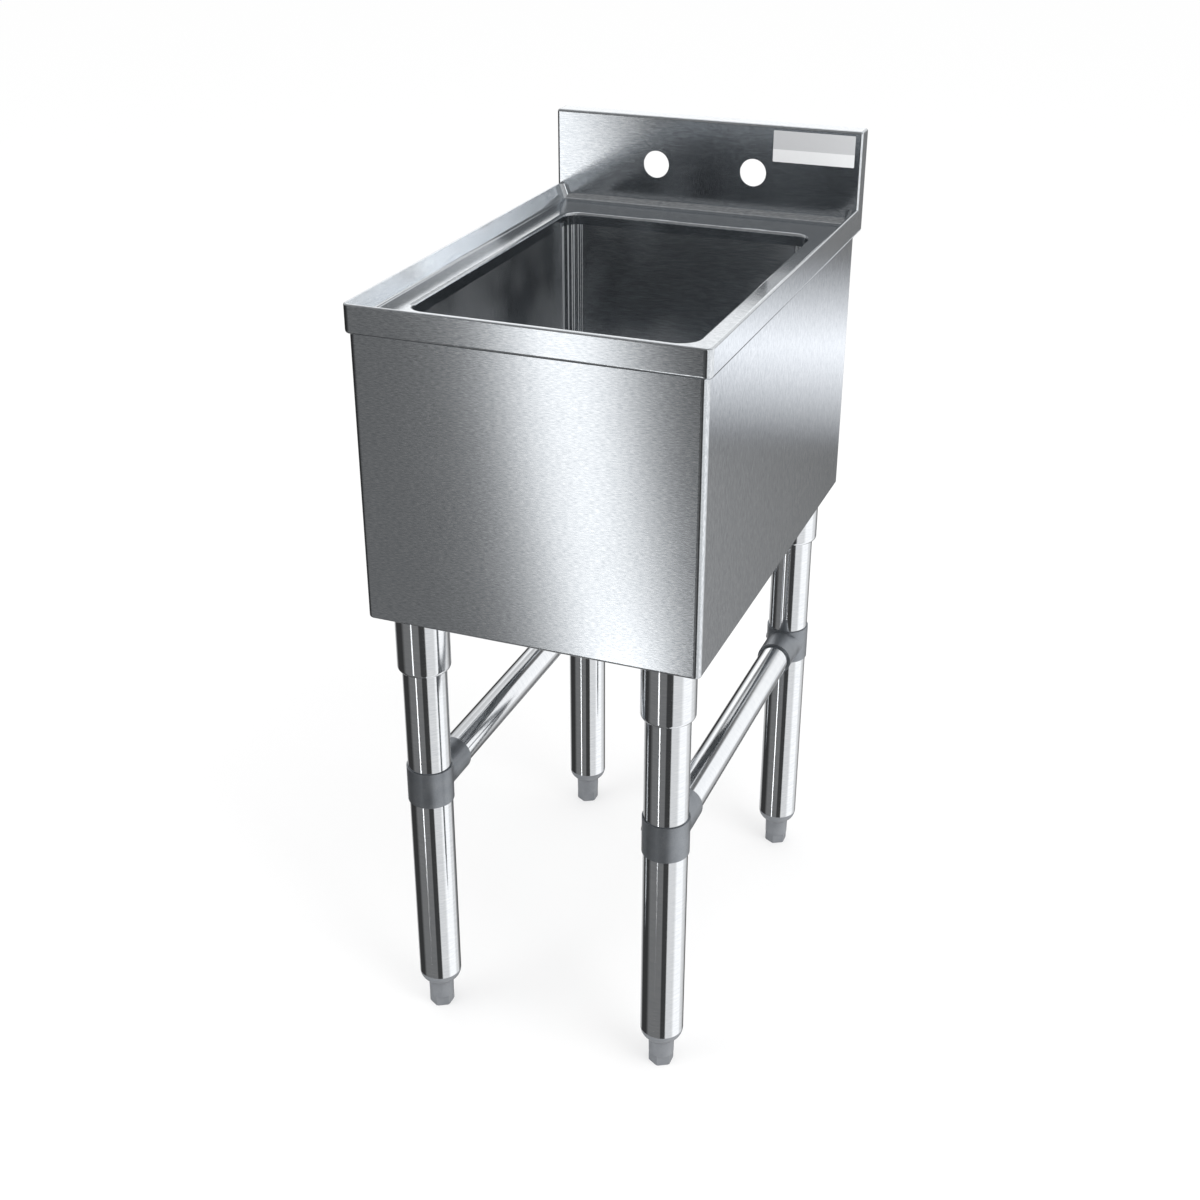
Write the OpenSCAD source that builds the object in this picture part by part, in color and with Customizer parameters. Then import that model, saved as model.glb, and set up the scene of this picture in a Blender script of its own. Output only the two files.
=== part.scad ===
// Underbar dump sink: a deep bowl in a formed deck with a raised rim and a coved splash,
// a skirt on three sides, and four braced tube legs on screw feet.
// Millimetres. Origin on the floor under the middle of the footprint.
// +X is the right-hand side, +Y is the wall and +Z is up.

/* [Sink] */
// Overall width, side to side
sink_w = 317.5; // [260:0.5:420]
// Overall depth, from the front of the rim to the wall
sink_d = 476.25; // [400:0.25:560]
// Height of the raised rim above the floor
rim_z = 735.5; // [690:0.5:900]
// Thickness of the stainless sheet
sheet_t = 1.2; // [0.9:0.1:1.4]

/* [Rim and deck] */
// Height of the upright band round the rim
band_h = 25.4; // [20:0.1:40]
// Drop from the rim to the deck
rim_drop = 15.5; // [12:0.1:18]
// Distance from the band's face to the foot of the rim's inner slope
slope_foot = 8.1; // [7:0.1:10]
// Outer radius of the fold along the rim's top
rim_fold_r = 1.5; // [1.4:0.1:2.2]
// Radius of the crease between the slope and the deck
crease_r = 3; // [1:0.1:5]
// Radius of the rim's upright front corners
rim_corner_r = 6.5; // [6:0.1:10]
// Radius of the roll along the band's lower edge
hem_r = 2.8; // [2:0.1:3]

/* [Splash] */
// Rise of the splash above the rim
splash_rise = 75; // [60:0.5:150]
// Depth of the splash's returns, from its face to the wall
splash_depth = 20; // [15:0.5:25]
// Radius of the cove between the deck, the slopes and the splash
cove_r = 8; // [4:0.5:12]
// Outer radius of the splash's bends
splash_bend_r = 2.4; // [1.6:0.1:4]
// Height of the hem turned down behind the splash's top
splash_hem_h = 12; // [6:0.5:20]
// Diameter of a tap hole
tap_hole_d = 27; // [20:0.5:35]
// Distance between the tap holes' centres
tap_spacing = 101.6; // [80:0.1:205]
// Height of the tap holes' centres above the deck
tap_rise = 43.2; // [35:0.1:60]

/* [Bowl] */
// Distance from the sink's side to the bowl
bowl_side_gap = 31.75; // [26:0.05:50]
// Distance from the front of the rim to the bowl
bowl_front_gap = 51.6; // [46:0.1:54]
// Distance from the bowl to the wall
bowl_rear_gap = 69.05; // [63:0.05:100]
// Depth of the bowl below the deck
bowl_depth = 254; // [200:0.5:300]
// Radius of the bowl's upright corners
bowl_corner_r = 17; // [15:0.5:24]
// Radius between the bowl's walls and floor
bowl_floor_r = 14; // [8:0.5:15]
// Radius of the lip where the deck turns down into the bowl
lip_r = 3; // [1.5:0.1:5]
// Height of the deck's turned-down lip
lip_h = 12; // [6:0.5:20]

/* [Skirt and channels] */
// Distance from the skirt's rear edge to the wall
skirt_rear_gap = 15.2; // [13:0.1:15.2]
// Radius of the skirt's upright corners
skirt_corner_r = 6; // [5:0.1:8]
// Radius of the fold along the skirt's lower edge
skirt_fold_r = 2.5; // [1.5:0.1:4]
// Width of the skirt's inward flanges
skirt_flange_w = 6.2; // [5:0.1:6.4]
// Height of the channels under the bowl
channel_h = 16.8; // [12:0.1:30]
// Thickness of the channels
channel_t = 2; // [1.5:0.1:3]
// Distance that a channel reaches under the bowl's flat floor
channel_lap = 5; // [2:0.5:15]

/* [Legs] */
// Outside diameter of a leg
leg_d = 41.3; // [38:0.1:42]
// Wall of a leg tube
leg_wall = 1.5; // [1:0.1:2.5]
// Distance from the sink's side to a leg's axis
leg_side_inset = 40.35; // [40:0.05:50]
// Distance from the front of the rim to the front legs' axis
leg_front_inset = 35; // [34.6:0.1:43]
// Distance from the wall to the rear legs' axis
leg_rear_inset = 43.4; // [43.4:0.1:50]

/* [Leg sockets] */
// Outside diameter of a socket
socket_d = 49.4; // [47.5:0.1:49.4]
// Height of a socket, from its lower lip to the channel
socket_h = 75; // [50:0.5:100]
// Radius of the rounded lower lip
socket_lip_r = 3.8; // [1:0.1:4]

/* [Braces] */
// Height of the side braces' axis above the floor
brace_z = 265; // [150:0.5:330]
// Outside diameter of a side brace
brace_d = 31.75; // [25:0.05:33]
// Wall of a side brace
brace_wall = 1.2; // [1:0.1:2.5]
// Outside diameter of a tee's collar
tee_collar_d = 44; // [43.4:0.1:46]
// Height of a tee's collar
tee_h = 37; // [36.5:0.5:48]
// Outside diameter of a tee's branch
tee_branch_d = 36.2; // [35.8:0.1:36.4]
// Distance from the leg's axis to the end of the branch
tee_reach = 51; // [40:0.5:70]

/* [Feet] */
// Distance that a foot shows below its insert, screwed home
foot_show = 30.5; // [22:0.5:50]
// Height of the insert's domed flange
dome_h = 11.5; // [6:0.5:12.5]
// Radius of the dome's roundness
dome_r = 13; // [12.5:0.1:14]
// Diameter of the foot's round stem
stem_d = 25; // [24:0.1:26]
// Width of the hex base across its corners
hex_d = 24.4; // [22:0.1:25]
// Height of the hex base
hex_h = 11; // [8:0.5:14]
// Diameter of the screw
shank_d = 19; // [12:0.1:20]
// Length of the screw above the stem
shank_h = 62; // [55:1:80]
// Length of the insert inside the leg
plug_h = 40; // [30:0.5:50]

/* [Drain] */
// Outside diameter of the drain's flange
drain_flange_d = 81; // [76:0.5:90]
// Outside diameter of the drain's threaded body
drain_body_d = 48.3; // [46:0.1:50]
// Length of the body below its flange
drain_body_h = 64; // [56:0.5:90]
// Wall of the body round its waterway
drain_wall = 5.15; // [4.5:0.05:8]
// Wall of the body round the well that takes the strainer
drain_well_wall = 2.65; // [2.2:0.05:4]
// Depth of the well below the flange's top
drain_well_h = 27; // [22:0.5:34]
// Distance from the body's outside to the tailpiece's
tail_step = 5.1; // [4.2:0.05:8]
// Wall of the tailpiece
tail_wall = 1.2; // [0.8:0.1:2]
// Length of the tailpiece below its flange
tail_h = 58; // [40:0.5:110]

/* [Strainer] */
// Diameter of the strainer's rim
strainer_rim_d = 64; // [58:0.5:66]
// Gap round the strainer's cup in the drain's well
strainer_gap = 1; // [0.75:0.05:3]
// Depth of the cup below the rim
strainer_cup_h = 22; // [14:0.5:25]
// Diameter of one perforation
strainer_hole_d = 3.6; // [2:0.1:4]

/* [Hidden] */

$fn = 72;
// Overrun of a cutting tool past the face that it cuts
cut = 2;
// Gap between pieces that are welded or laid against each other
seat_gap = 0.2;
// Gap round a tube in the fitting that holds it
tube_gap = 0.15;
// Gap round a piece that slides or turns
run_gap = 0.3;

// Planes of the sink
half_w = sink_w / 2;
front_y = -sink_d / 2;
rear_y = sink_d / 2;
deck_z = rim_z - rim_drop;
band_low = rim_z - band_h;
splash_y = rear_y - splash_depth;
splash_top = rim_z + splash_rise;
beyond = sink_w + sink_d;

// Angle of the rim's inner slope from upright: its line starts at the slope's foot
// and touches the fold's circle
fold_across = slope_foot - rim_fold_r;
fold_up = rim_drop - rim_fold_r;
slope_a = acos(rim_fold_r / norm([fold_across, fold_up])) - atan2(fold_up, fold_across);
// Setback of a crease's ends from its corner, as a share of the crease's radius
crease_share = tan((90 - slope_a) / 2);
foot_x = half_w - slope_foot;
foot_y = front_y + slope_foot;

// Bowl: its inside width, its inside length and its planes
bowl_w = sink_w - 2 * bowl_side_gap;
bowl_l = sink_d - bowl_front_gap - bowl_rear_gap;
bowl_front_y = front_y + bowl_front_gap;
bowl_mid_y = bowl_front_y + bowl_l / 2;
floor_z = deck_z - bowl_depth;
bowl_top = deck_z - lip_h;
bowl_under = floor_z - sheet_t;

// Skirt and channels
skirt_x = half_w - hem_r - seat_gap;
skirt_y = front_y + hem_r + seat_gap;
skirt_rear_y = rear_y - skirt_rear_gap;
channel_low = bowl_under - channel_h;
skirt_low = channel_low - sheet_t;
channel_bend_r = channel_t + sheet_t;
// The channels end beside the skirt's flanges, and the front one stands clear of the skirt's fold
channel_x = skirt_x - skirt_flange_w - seat_gap;
channel_front = [skirt_y + skirt_fold_r + seat_gap, bowl_front_y + bowl_floor_r + channel_lap];
channel_rear = [
    bowl_front_y + bowl_l - bowl_floor_r - channel_lap,
    skirt_rear_y - sheet_t - seat_gap
];

// Legs: axes in the order front left, front right, rear left, rear right
leg_r = leg_d / 2;
leg_x = half_w - leg_side_inset;
leg_front_y = front_y + leg_front_inset;
leg_rear_y = rear_y - leg_rear_inset;
LEG_AT = [
    [-leg_x, leg_front_y],
    [leg_x, leg_front_y],
    [-leg_x, leg_rear_y],
    [leg_x, leg_rear_y]
];
// Direction of each tee's branch: the front ones look to the rear and the rear ones to the front
BRANCH_TURN = [90, 90, -90, -90];
socket_top = channel_low + channel_h - channel_t;
socket_low = socket_top - socket_h;
socket_stop_h = 10;
// Roundness of a socket's top edge, more than that of the bend inside the channel
socket_top_r = channel_bend_r - channel_t + run_gap;
socket_eye_r = 14;
leg_top = socket_top - socket_stop_h;
leg_low = foot_show + dome_h;

// Set screws, with a hex socket in the outer end
screw_r = 3.2;
screw_proud = 0.8;
screw_hex_r = 1.8;
screw_hex_depth = 1.4;
screw_gap = 0.05;
socket_screw_share = 0.4;
socket_screw_z = socket_low + socket_h * socket_screw_share;
socket_screw_turn = 90;
tee_screw_turn = 180;
branch_screw_back = 9;

// Tee flare where the branch leaves the collar: its wide end starts at the collar's surface
flare_more = 2.5;
flare_start = sqrt(pow(tee_collar_d / 2, 2) - pow(tee_branch_d / 2 + flare_more, 2));
flare_end = 21;
// Facets of the flare's wide arc, of which only a short stretch is used
flare_facets = 288;

// Feet
plug_core_inset = 1.6;
plug_ribs = 4;
plug_rib_h = 3;
well_h = 3;
stem_taper = 0.4;
hex_bevel = 0.6;
// Turns a hex base so that two corners point to the front and the rear
hex_turn = 30;
shank_bevel = 1.5;
stem_top = foot_show + well_h - run_gap;

// Drain stack, from the bowl's floor down
drain_bore_d = drain_body_d - 2 * drain_wall;
drain_well_d = drain_body_d - 2 * drain_well_wall;
tail_d = drain_body_d - 2 * tail_step;
dish_h = 3.4;
dish_slope = 3;
dish_gap = 1.2;
dish_r = drain_flange_d / 2 + dish_gap;
gasket_t = 1;
flange_t = dish_h - gasket_t;
drain_hole_gap = 0.8;
drain_hole_r = drain_body_d / 2 + drain_hole_gap;
flange_low = floor_z - flange_t;
seat_h = 1.6;
strainer_rim_gap = 1;
drain_seat_r = strainer_rim_d / 2 + strainer_rim_gap;
drain_low = flange_low - drain_body_h;
washer_gap = 0.25;
// Thicknesses of the rings and the nut under the floor, and their reach past the body's thread
under_washer_t = 3;
under_washer_reach = 11.85;
under_washer_r = drain_body_d / 2 + under_washer_reach;
friction_t = 1;
friction_reach = 9.85;
friction_r = drain_body_d / 2 + friction_reach;
locknut_t = 9;
locknut_reach = 12.85;
locknut_r = drain_body_d / 2 + locknut_reach;
floor_under = floor_z - dish_h - sheet_t;
tail_washer_t = 1.6;
tail_flange_t = 1.6;
tail_flange_inset = 0.6;
tail_flange_r = drain_body_d / 2 - tail_flange_inset;
slip_nut_reach = 8.85;
slip_nut_r = drain_body_d / 2 + slip_nut_reach;
// Gap round the tailpiece in the slip nut's hole
slip_nut_gap = 0.9;
slip_nut_grip = 15;
slip_nut_base = 4;
tail_top = drain_low - tail_washer_t;
tail_low = tail_top - tail_flange_t - tail_h;

// Strainer
strainer_t = 1.2;
strainer_z = floor_z - seat_h + seat_gap;
strainer_cup_d = drain_well_d - 2 * strainer_gap;
cup_low = strainer_z - strainer_cup_h;
cup_r = strainer_cup_d / 2;
knob_r = 6.5;
knob_neck_r = 2.6;
knob_rise = 9;
knob_h = 4;
knob_edge_r = 1;
// Rivet that holds the knob's post in the cup's floor
rivet_r = 2;
rivet_gap = 0.05;
rivet_head_r = 3.6;
rivet_head_h = 1;
cup_holes = 12;
inner_holes = 6;
inner_hole_turn = 15;

STEEL = [0.74, 0.75, 0.77];
POLISHED = [0.82, 0.84, 0.87];
CAST_GREY = [0.52, 0.54, 0.57];
FOOT_GREY = [0.45, 0.47, 0.49];
BLACK_RUBBER = [0.09, 0.09, 0.10];
CHROME = [0.86, 0.87, 0.90];

// Quarter of a disc at a corner, turned so that it fills the quadrant that starts at turn
module quarter_disc(at, r, turn) {
    translate(at) rotate(turn) intersection() {
        circle(r);
        square(r);
    }
}

// Section of a wall whose outer face stands at x = reach, with rounded lower and upper edges
module edge_section(reach, low, high, low_r, high_r) {
    translate([0, low + low_r]) square([reach, high - low - low_r - high_r]);
    if (low_r > 0) {
        if (reach > low_r) translate([0, low]) square([reach - low_r, low_r]);
        quarter_disc([reach - low_r, low + low_r], low_r, -90);
    }
    if (high_r > 0) {
        if (reach > high_r) translate([0, high - high_r]) square([reach - high_r, high_r]);
        quarter_disc([reach - high_r, high - high_r], high_r, 0);
    }
}

// Sweeps a section round a rectangle, whose sides join the centres of the rounded corners
module sweep_round(across, along, middle) {
    for (side = [0 : 3]) {
        out = side % 2 == 0 ? across / 2 : along / 2;
        run = side % 2 == 0 ? along : across;
        translate(middle) rotate(90 * side) {
            translate([out, 0, 0]) rotate([90, 0, 0]) linear_extrude(run, center = true) children();
            translate([out, run / 2, 0]) rotate_extrude(angle = 90) children();
        }
    }
}

// Block with rounded upright corners and rounded lower and upper edges
module soft_block(low, high, corner_r, low_r, high_r) {
    across = high.x - low.x - 2 * corner_r;
    along = high.y - low.y - 2 * corner_r;
    middle = [(low.x + high.x) / 2, (low.y + high.y) / 2, 0];
    translate([low.x + corner_r, low.y + corner_r, low.z]) cube([across, along, high.z - low.z]);
    sweep_round(across, along, middle) edge_section(corner_r, low.z, high.z, low_r, high_r);
}

// Upright hole with the bowl's outline, grown outwards
module bowl_outline(grow, low, high) {
    r = bowl_corner_r + grow;
    x = bowl_w / 2 + grow;
    y = bowl_l / 2 + grow;
    translate([0, bowl_mid_y, low]) linear_extrude(high - low) {
        square([2 * x, 2 * (y - r)], center = true);
        square([2 * (x - r), 2 * y], center = true);
        for (side = [-1, 1], end = [-1, 1]) translate([side * (x - r), end * (y - r)]) circle(r);
    }
}

// Section of the air between the two slopes, grown outwards: x across, y up
module slope_section(grow) {
    low = deck_z - grow;
    bend = crease_r + grow;
    foot = foot_x + grow * crease_share;
    rise = splash_top + beyond - low;
    setback = bend * crease_share;
    up = [setback * sin(slope_a), setback * cos(slope_a)];
    polygon([
        [-foot + setback, low],
        [foot - setback, low],
        [foot + up.x, low + up.y],
        [foot + rise * tan(slope_a), low + rise],
        [-foot - rise * tan(slope_a), low + rise],
        [-foot - up.x, low + up.y]
    ]);
    for (side = [-1, 1]) translate([side * (foot - setback), low + bend]) circle(bend);
}

// Section of the air from the front slope to the splash, grown outwards: x towards the wall, y up
module deck_section(grow) {
    low = deck_z - grow;
    bend = crease_r + grow;
    foot = foot_y - grow * crease_share;
    rise = splash_top + beyond - low;
    setback = bend * crease_share;
    cove = cove_r + grow;
    face = splash_y + grow;
    polygon([
        [foot + setback, low],
        [face - cove, low],
        [face, low + cove],
        [face, low + rise],
        [foot - rise * tan(slope_a), low + rise],
        [foot - setback * sin(slope_a), low + setback * cos(slope_a)]
    ]);
    translate([foot + setback, low + bend]) circle(bend);
    translate([face - cove, low + cove]) circle(cove);
}

// Air beside a cove that climbs with a slope, in the plane square to the cove
module cove_section(grow) {
    cove = cove_r + grow;
    translate([-beyond, -beyond]) square([beyond + grow - cove, beyond + grow]);
    translate([-beyond, -beyond]) square([beyond + grow, beyond + grow - cove]);
    translate([grow - cove, grow - cove]) circle(cove);
}

// Air above the deck: between the slopes, in front of the splash, with every cove
module pan_air(grow) {
    intersection() {
        rotate([90, 0, 0]) linear_extrude(2 * beyond, center = true) slope_section(grow);
        rotate([90, 0, 90]) linear_extrude(2 * beyond, center = true) deck_section(grow);
        translate([foot_x, splash_y, deck_z]) rotate([0, slope_a, 0])
            linear_extrude(2 * beyond, center = true) cove_section(grow);
        mirror([1, 0, 0]) translate([foot_x, splash_y, deck_z]) rotate([0, slope_a, 0])
            linear_extrude(2 * beyond, center = true) cove_section(grow);
    }
}

// Outer form of the rim and the splash, drawn in by inset and reaching past the wall plane
module deck_form(inset) {
    soft_block(
        [-half_w + inset, front_y + inset, band_low + inset],
        [half_w - inset, rear_y + beyond, rim_z - inset],
        rim_corner_r - inset, hem_r - inset, rim_fold_r - inset
    );
    soft_block(
        [-half_w + inset, splash_y + inset, deck_z],
        [half_w - inset, rear_y + beyond, splash_top - inset],
        splash_bend_r - inset, 0, splash_bend_r - inset
    );
}

// Section of the lip where the deck turns down into the bowl, from the corner's centre outwards
module lip_section() {
    difference() {
        quarter_disc([bowl_corner_r + lip_r, deck_z - lip_r], lip_r, 90);
        translate([bowl_corner_r + lip_r, deck_z - lip_r]) circle(lip_r - sheet_t);
    }
    translate([bowl_corner_r, bowl_top]) square([sheet_t, lip_h - lip_r]);
}

// The deck, its raised rim, the rim's band and the splash, formed from one sheet
module top_deck() {
    color(STEEL) {
        difference() {
            intersection() {
                deck_form(0);
                translate([-beyond, -beyond, 0]) cube([2 * beyond, beyond + rear_y, 2 * rim_z]);
            }
            pan_air(0);
            difference() {
                deck_form(sheet_t);
                pan_air(sheet_t);
            }
            // The band's lower edge is open inside its roll
            translate([0, 0, band_low - cut]) linear_extrude(cut + hem_r) band_opening();
            // The deck is open over the bowl, out to where its lip begins to turn down
            bowl_outline(lip_r, band_low, rim_z);
            for (side = [-1, 1]) translate([side * tap_spacing / 2, splash_y - cut, deck_z + tap_rise])
                rotate([-90, 0, 0]) cylinder(h = sheet_t + 2 * cut, d = tap_hole_d);
        }
        splash_hem();
        sweep_round(bowl_w - 2 * bowl_corner_r, bowl_l - 2 * bowl_corner_r, [0, bowl_mid_y, 0]) lip_section();
    }
}

// Plan of the open underside, inside the roll of the band's lower edge
module band_opening() {
    r = rim_corner_r - hem_r;
    x = half_w - hem_r;
    y = front_y + hem_r;
    translate([-x, y + r]) square([2 * x, beyond]);
    translate([-x + r, y]) square([2 * (x - r), beyond]);
    for (side = [-1, 1]) translate([side * (x - r), y + r]) circle(r);
}

// Hem turned down from the rear edge of the splash's top
module splash_hem() {
    x = half_w - splash_bend_r;
    translate([-x, rear_y - sheet_t, splash_top - splash_hem_h])
        cube([2 * x, sheet_t, splash_hem_h - sheet_t]);
}

// Solid tub with the bowl's form, grown outwards
module tub(grow, high) {
    x = bowl_w / 2 + grow;
    y = bowl_l / 2 + grow;
    soft_block(
        [-x, bowl_mid_y - y, floor_z - grow],
        [x, bowl_mid_y + y, high],
        bowl_corner_r + grow, bowl_floor_r + grow, 0
    );
}

// Recess in the floor that lets the drain's flange lie flush
module drain_dish(grow) {
    translate([0, bowl_mid_y, floor_z - dish_h - grow])
        cylinder(h = dish_h + grow, r1 = dish_r + grow, r2 = dish_r + dish_slope + grow);
}

// Deep bowl with coved corners and a dished hole for the drain
module bowl() {
    color(STEEL) difference() {
        union() {
            tub(sheet_t, bowl_top);
            drain_dish(sheet_t);
        }
        tub(0, bowl_top + cut);
        drain_dish(0);
        translate([0, bowl_mid_y, floor_under - cut])
            cylinder(h = floor_z - floor_under + 2 * cut, r = drain_hole_r);
    }
}

// Skirt round the front and the sides, with an inward flange along its lower and rear edges
module apron() {
    inner = sheet_t;
    open_x = skirt_x - skirt_flange_w;
    open_y = skirt_y + skirt_flange_w;
    color(STEEL) difference() {
        soft_block(
            [-skirt_x, skirt_y, skirt_low],
            [skirt_x, skirt_rear_y, deck_z],
            skirt_corner_r, skirt_fold_r, 0
        );
        soft_block(
            [-skirt_x + inner, skirt_y + inner, skirt_low + inner],
            [skirt_x - inner, skirt_rear_y - inner, deck_z + cut],
            skirt_corner_r - inner, skirt_fold_r - inner, 0
        );
        translate([-open_x, open_y, skirt_low - cut])
            cube([2 * open_x, skirt_rear_y - open_y + cut, deck_z - skirt_low + 2 * cut]);
    }
}

// Half of a channel's section, drawn in by inset
module channel_half(wide, inset) {
    edge_section(wide / 2 - inset, -inset, channel_h - inset, 0, channel_bend_r - inset);
}

// Channel across the sink between two planes, open below
module leg_channel(span) {
    wide = span[1] - span[0];
    color(STEEL) translate([0, (span[0] + span[1]) / 2, channel_low])
        rotate([90, 0, 90]) linear_extrude(2 * channel_x, center = true) difference() {
            union() {
                channel_half(wide, 0);
                mirror([1, 0]) channel_half(wide, 0);
            }
            channel_half(wide, channel_t);
            mirror([1, 0]) channel_half(wide, channel_t);
        }
}

// Moves a piece to the axis of a leg
module at_leg(which) {
    translate([LEG_AT[which].x, LEG_AT[which].y, 0]) children();
}

// Places a piece on the outside of a tube, pointing away from the tube's axis
module from_side(turn, out, height) {
    translate([0, 0, height]) rotate(turn) translate([out, 0, 0]) rotate([0, 90, 0]) children();
}

module leg_socket(which) {
    r = socket_d / 2;
    bore_r = leg_r + tube_gap;
    color(POLISHED) at_leg(which) difference() {
        rotate_extrude() difference() {
            edge_section(r, socket_low, socket_top, socket_lip_r, socket_top_r);
            translate([0, socket_low - cut]) square([bore_r, leg_top - socket_low + cut]);
            square([socket_eye_r, socket_top + cut]);
        }
        from_side(socket_screw_turn, 0, socket_screw_z) cylinder(h = r + cut, r = screw_r + screw_gap);
    }
}

module leg(which) {
    color(POLISHED) at_leg(which) rotate_extrude()
        translate([leg_r - leg_wall, leg_low]) square([leg_wall, leg_top - leg_low]);
}

// Concave flare round the branch, from the collar to the plain tube of the branch
module tee_flare(r) {
    span = flare_end - flare_start;
    flare_r = (span * span + flare_more * flare_more) / (2 * flare_more);
    rotate_extrude() translate([0, flare_start]) difference() {
        square([r + flare_more, span]);
        translate([r + flare_r, span]) circle(flare_r, $fn = flare_facets);
    }
}

module brace_tee(which) {
    collar_r = tee_collar_d / 2;
    branch_r = tee_branch_d / 2;
    // The bore for the leg passes the collar and the flare
    bore_h = 2 * (max(tee_h / 2, branch_r + flare_more) + cut);
    color(CAST_GREY) at_leg(which) translate([0, 0, brace_z]) difference() {
        union() {
            cylinder(h = tee_h, r = collar_r, center = true);
            rotate(BRANCH_TURN[which]) rotate([0, 90, 0]) {
                cylinder(h = tee_reach, r = branch_r);
                tee_flare(branch_r);
            }
        }
        cylinder(h = bore_h, r = leg_r + tube_gap, center = true);
        rotate(BRANCH_TURN[which]) rotate([0, 90, 0])
            cylinder(h = tee_reach + cut, r = brace_d / 2 + tube_gap);
        from_side(tee_screw_turn, 0, 0) cylinder(h = collar_r + cut, r = screw_r + screw_gap);
        rotate(BRANCH_TURN[which]) translate([tee_reach - branch_screw_back, 0, -branch_r - cut])
            cylinder(h = branch_r + cut, r = screw_r + screw_gap);
    }
}

module side_brace(x) {
    low_y = leg_front_y + leg_r + tube_gap;
    high_y = leg_rear_y - leg_r - tube_gap;
    color(POLISHED) translate([x, low_y, brace_z]) rotate([-90, 0, 0]) rotate_extrude()
        translate([brace_d / 2 - brace_wall, 0]) square([brace_wall, high_y - low_y]);
}

// Set screw whose point is at the origin and whose hex socket is at its outer end
module set_screw(long) {
    difference() {
        cylinder(h = long, r = screw_r);
        translate([0, 0, long - screw_hex_depth])
            cylinder(h = screw_hex_depth + cut, r = screw_hex_r, $fn = 6);
    }
}

module socket_screws() {
    long = socket_d / 2 - leg_r + screw_proud;
    color(POLISHED) for (which = [0 : 3]) at_leg(which)
        from_side(socket_screw_turn, leg_r, socket_screw_z) set_screw(long);
}

module tee_screws() {
    collar_long = tee_collar_d / 2 - leg_r + screw_proud;
    branch_long = (tee_branch_d - brace_d) / 2 + screw_proud;
    color(POLISHED) for (which = [0 : 3]) at_leg(which) {
        from_side(tee_screw_turn, leg_r, brace_z) set_screw(collar_long);
        rotate(BRANCH_TURN[which]) translate([tee_reach - branch_screw_back, 0, brace_z - brace_d / 2])
            rotate([180, 0, 0]) set_screw(branch_long);
    }
}

// Grey insert: a domed flange under the leg's end and a ribbed plug inside the tube
module foot_insert(which) {
    plug_r = leg_r - leg_wall - tube_gap;
    core_r = plug_r - plug_core_inset;
    pitch = plug_h / plug_ribs;
    color(FOOT_GREY) at_leg(which) rotate_extrude() difference() {
        union() {
            intersection() {
                union() {
                    translate([leg_r - dome_r, leg_low]) circle(dome_r);
                    translate([0, leg_low - dome_h]) square([leg_r - dome_r, dome_h]);
                }
                translate([0, leg_low - dome_h]) square([leg_r, dome_h]);
            }
            translate([0, leg_low]) square([core_r, plug_h]);
            for (rib = [1 : plug_ribs]) translate([0, leg_low + rib * pitch - plug_rib_h])
                square([plug_r, plug_rib_h]);
        }
        square([shank_d / 2 + run_gap, leg_low + plug_h + cut]);
        translate([0, foot_show - cut]) square([stem_d / 2 + run_gap, well_h + cut]);
    }
}

// Screw foot: a hex base for the spanner, a round stem and the screw
module levelling_foot(which) {
    shank_r = shank_d / 2;
    color(FOOT_GREY) at_leg(which) {
        intersection() {
            rotate(hex_turn) cylinder(h = hex_h, d = hex_d, $fn = 6);
            union() {
                cylinder(h = hex_bevel, r1 = hex_d / 2 - hex_bevel, r2 = hex_d / 2);
                // Above its bevel the hex is left whole, so this round is twice as wide
                translate([0, 0, hex_bevel]) cylinder(h = hex_h - hex_bevel, r = hex_d);
            }
        }
        translate([0, 0, hex_h])
            cylinder(h = stem_top - hex_h, d1 = stem_d - 2 * stem_taper, d2 = stem_d);
        translate([0, 0, hex_bevel]) cylinder(h = stem_top + shank_h - shank_bevel - hex_bevel, r = shank_r);
        translate([0, 0, stem_top + shank_h - shank_bevel])
            cylinder(h = shank_bevel, r1 = shank_r, r2 = shank_r - shank_bevel);
    }
}

// Moves a revolved piece to the drain's axis
module at_drain() {
    translate([0, bowl_mid_y, 0]) children();
}

// Flat ring with its upper face at the given height
module ring(top, thick, outer_r, inner_r) {
    at_drain() rotate_extrude() translate([inner_r, top - thick]) square([outer_r - inner_r, thick]);
}

module drain_body() {
    body_r = drain_body_d / 2;
    well_r = drain_well_d / 2;
    bore_r = drain_bore_d / 2;
    well_z = floor_z - drain_well_h;
    step = well_r - bore_r;
    color(CHROME) at_drain() rotate_extrude() difference() {
        union() {
            translate([0, drain_low]) square([body_r, drain_body_h]);
            translate([0, flange_low]) square([drain_flange_d / 2, flange_t]);
        }
        translate([0, floor_z - seat_h]) square([drain_seat_r, seat_h + cut]);
        translate([0, well_z]) square([well_r, drain_well_h]);
        polygon([[0, well_z], [well_r, well_z], [bore_r, well_z - step], [0, well_z - step]]);
        translate([0, drain_low - cut]) square([bore_r, well_z - drain_low]);
    }
}

module drain_gasket() {
    color(BLACK_RUBBER) ring(flange_low, gasket_t, drain_flange_d / 2, drain_hole_r);
}

module under_washer() {
    color(BLACK_RUBBER) ring(floor_under, under_washer_t, under_washer_r, drain_body_d / 2 + washer_gap);
}

module friction_washer() {
    top = floor_under - under_washer_t;
    color(CAST_GREY) ring(top, friction_t, friction_r, drain_body_d / 2 + washer_gap);
}

module drain_locknut() {
    top = floor_under - under_washer_t - friction_t;
    color(CHROME) at_drain() translate([0, 0, top - locknut_t]) difference() {
        cylinder(h = locknut_t, r = locknut_r, $fn = 6);
        translate([0, 0, -cut]) cylinder(h = locknut_t + 2 * cut, r = drain_body_d / 2 + tube_gap);
    }
}

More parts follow.
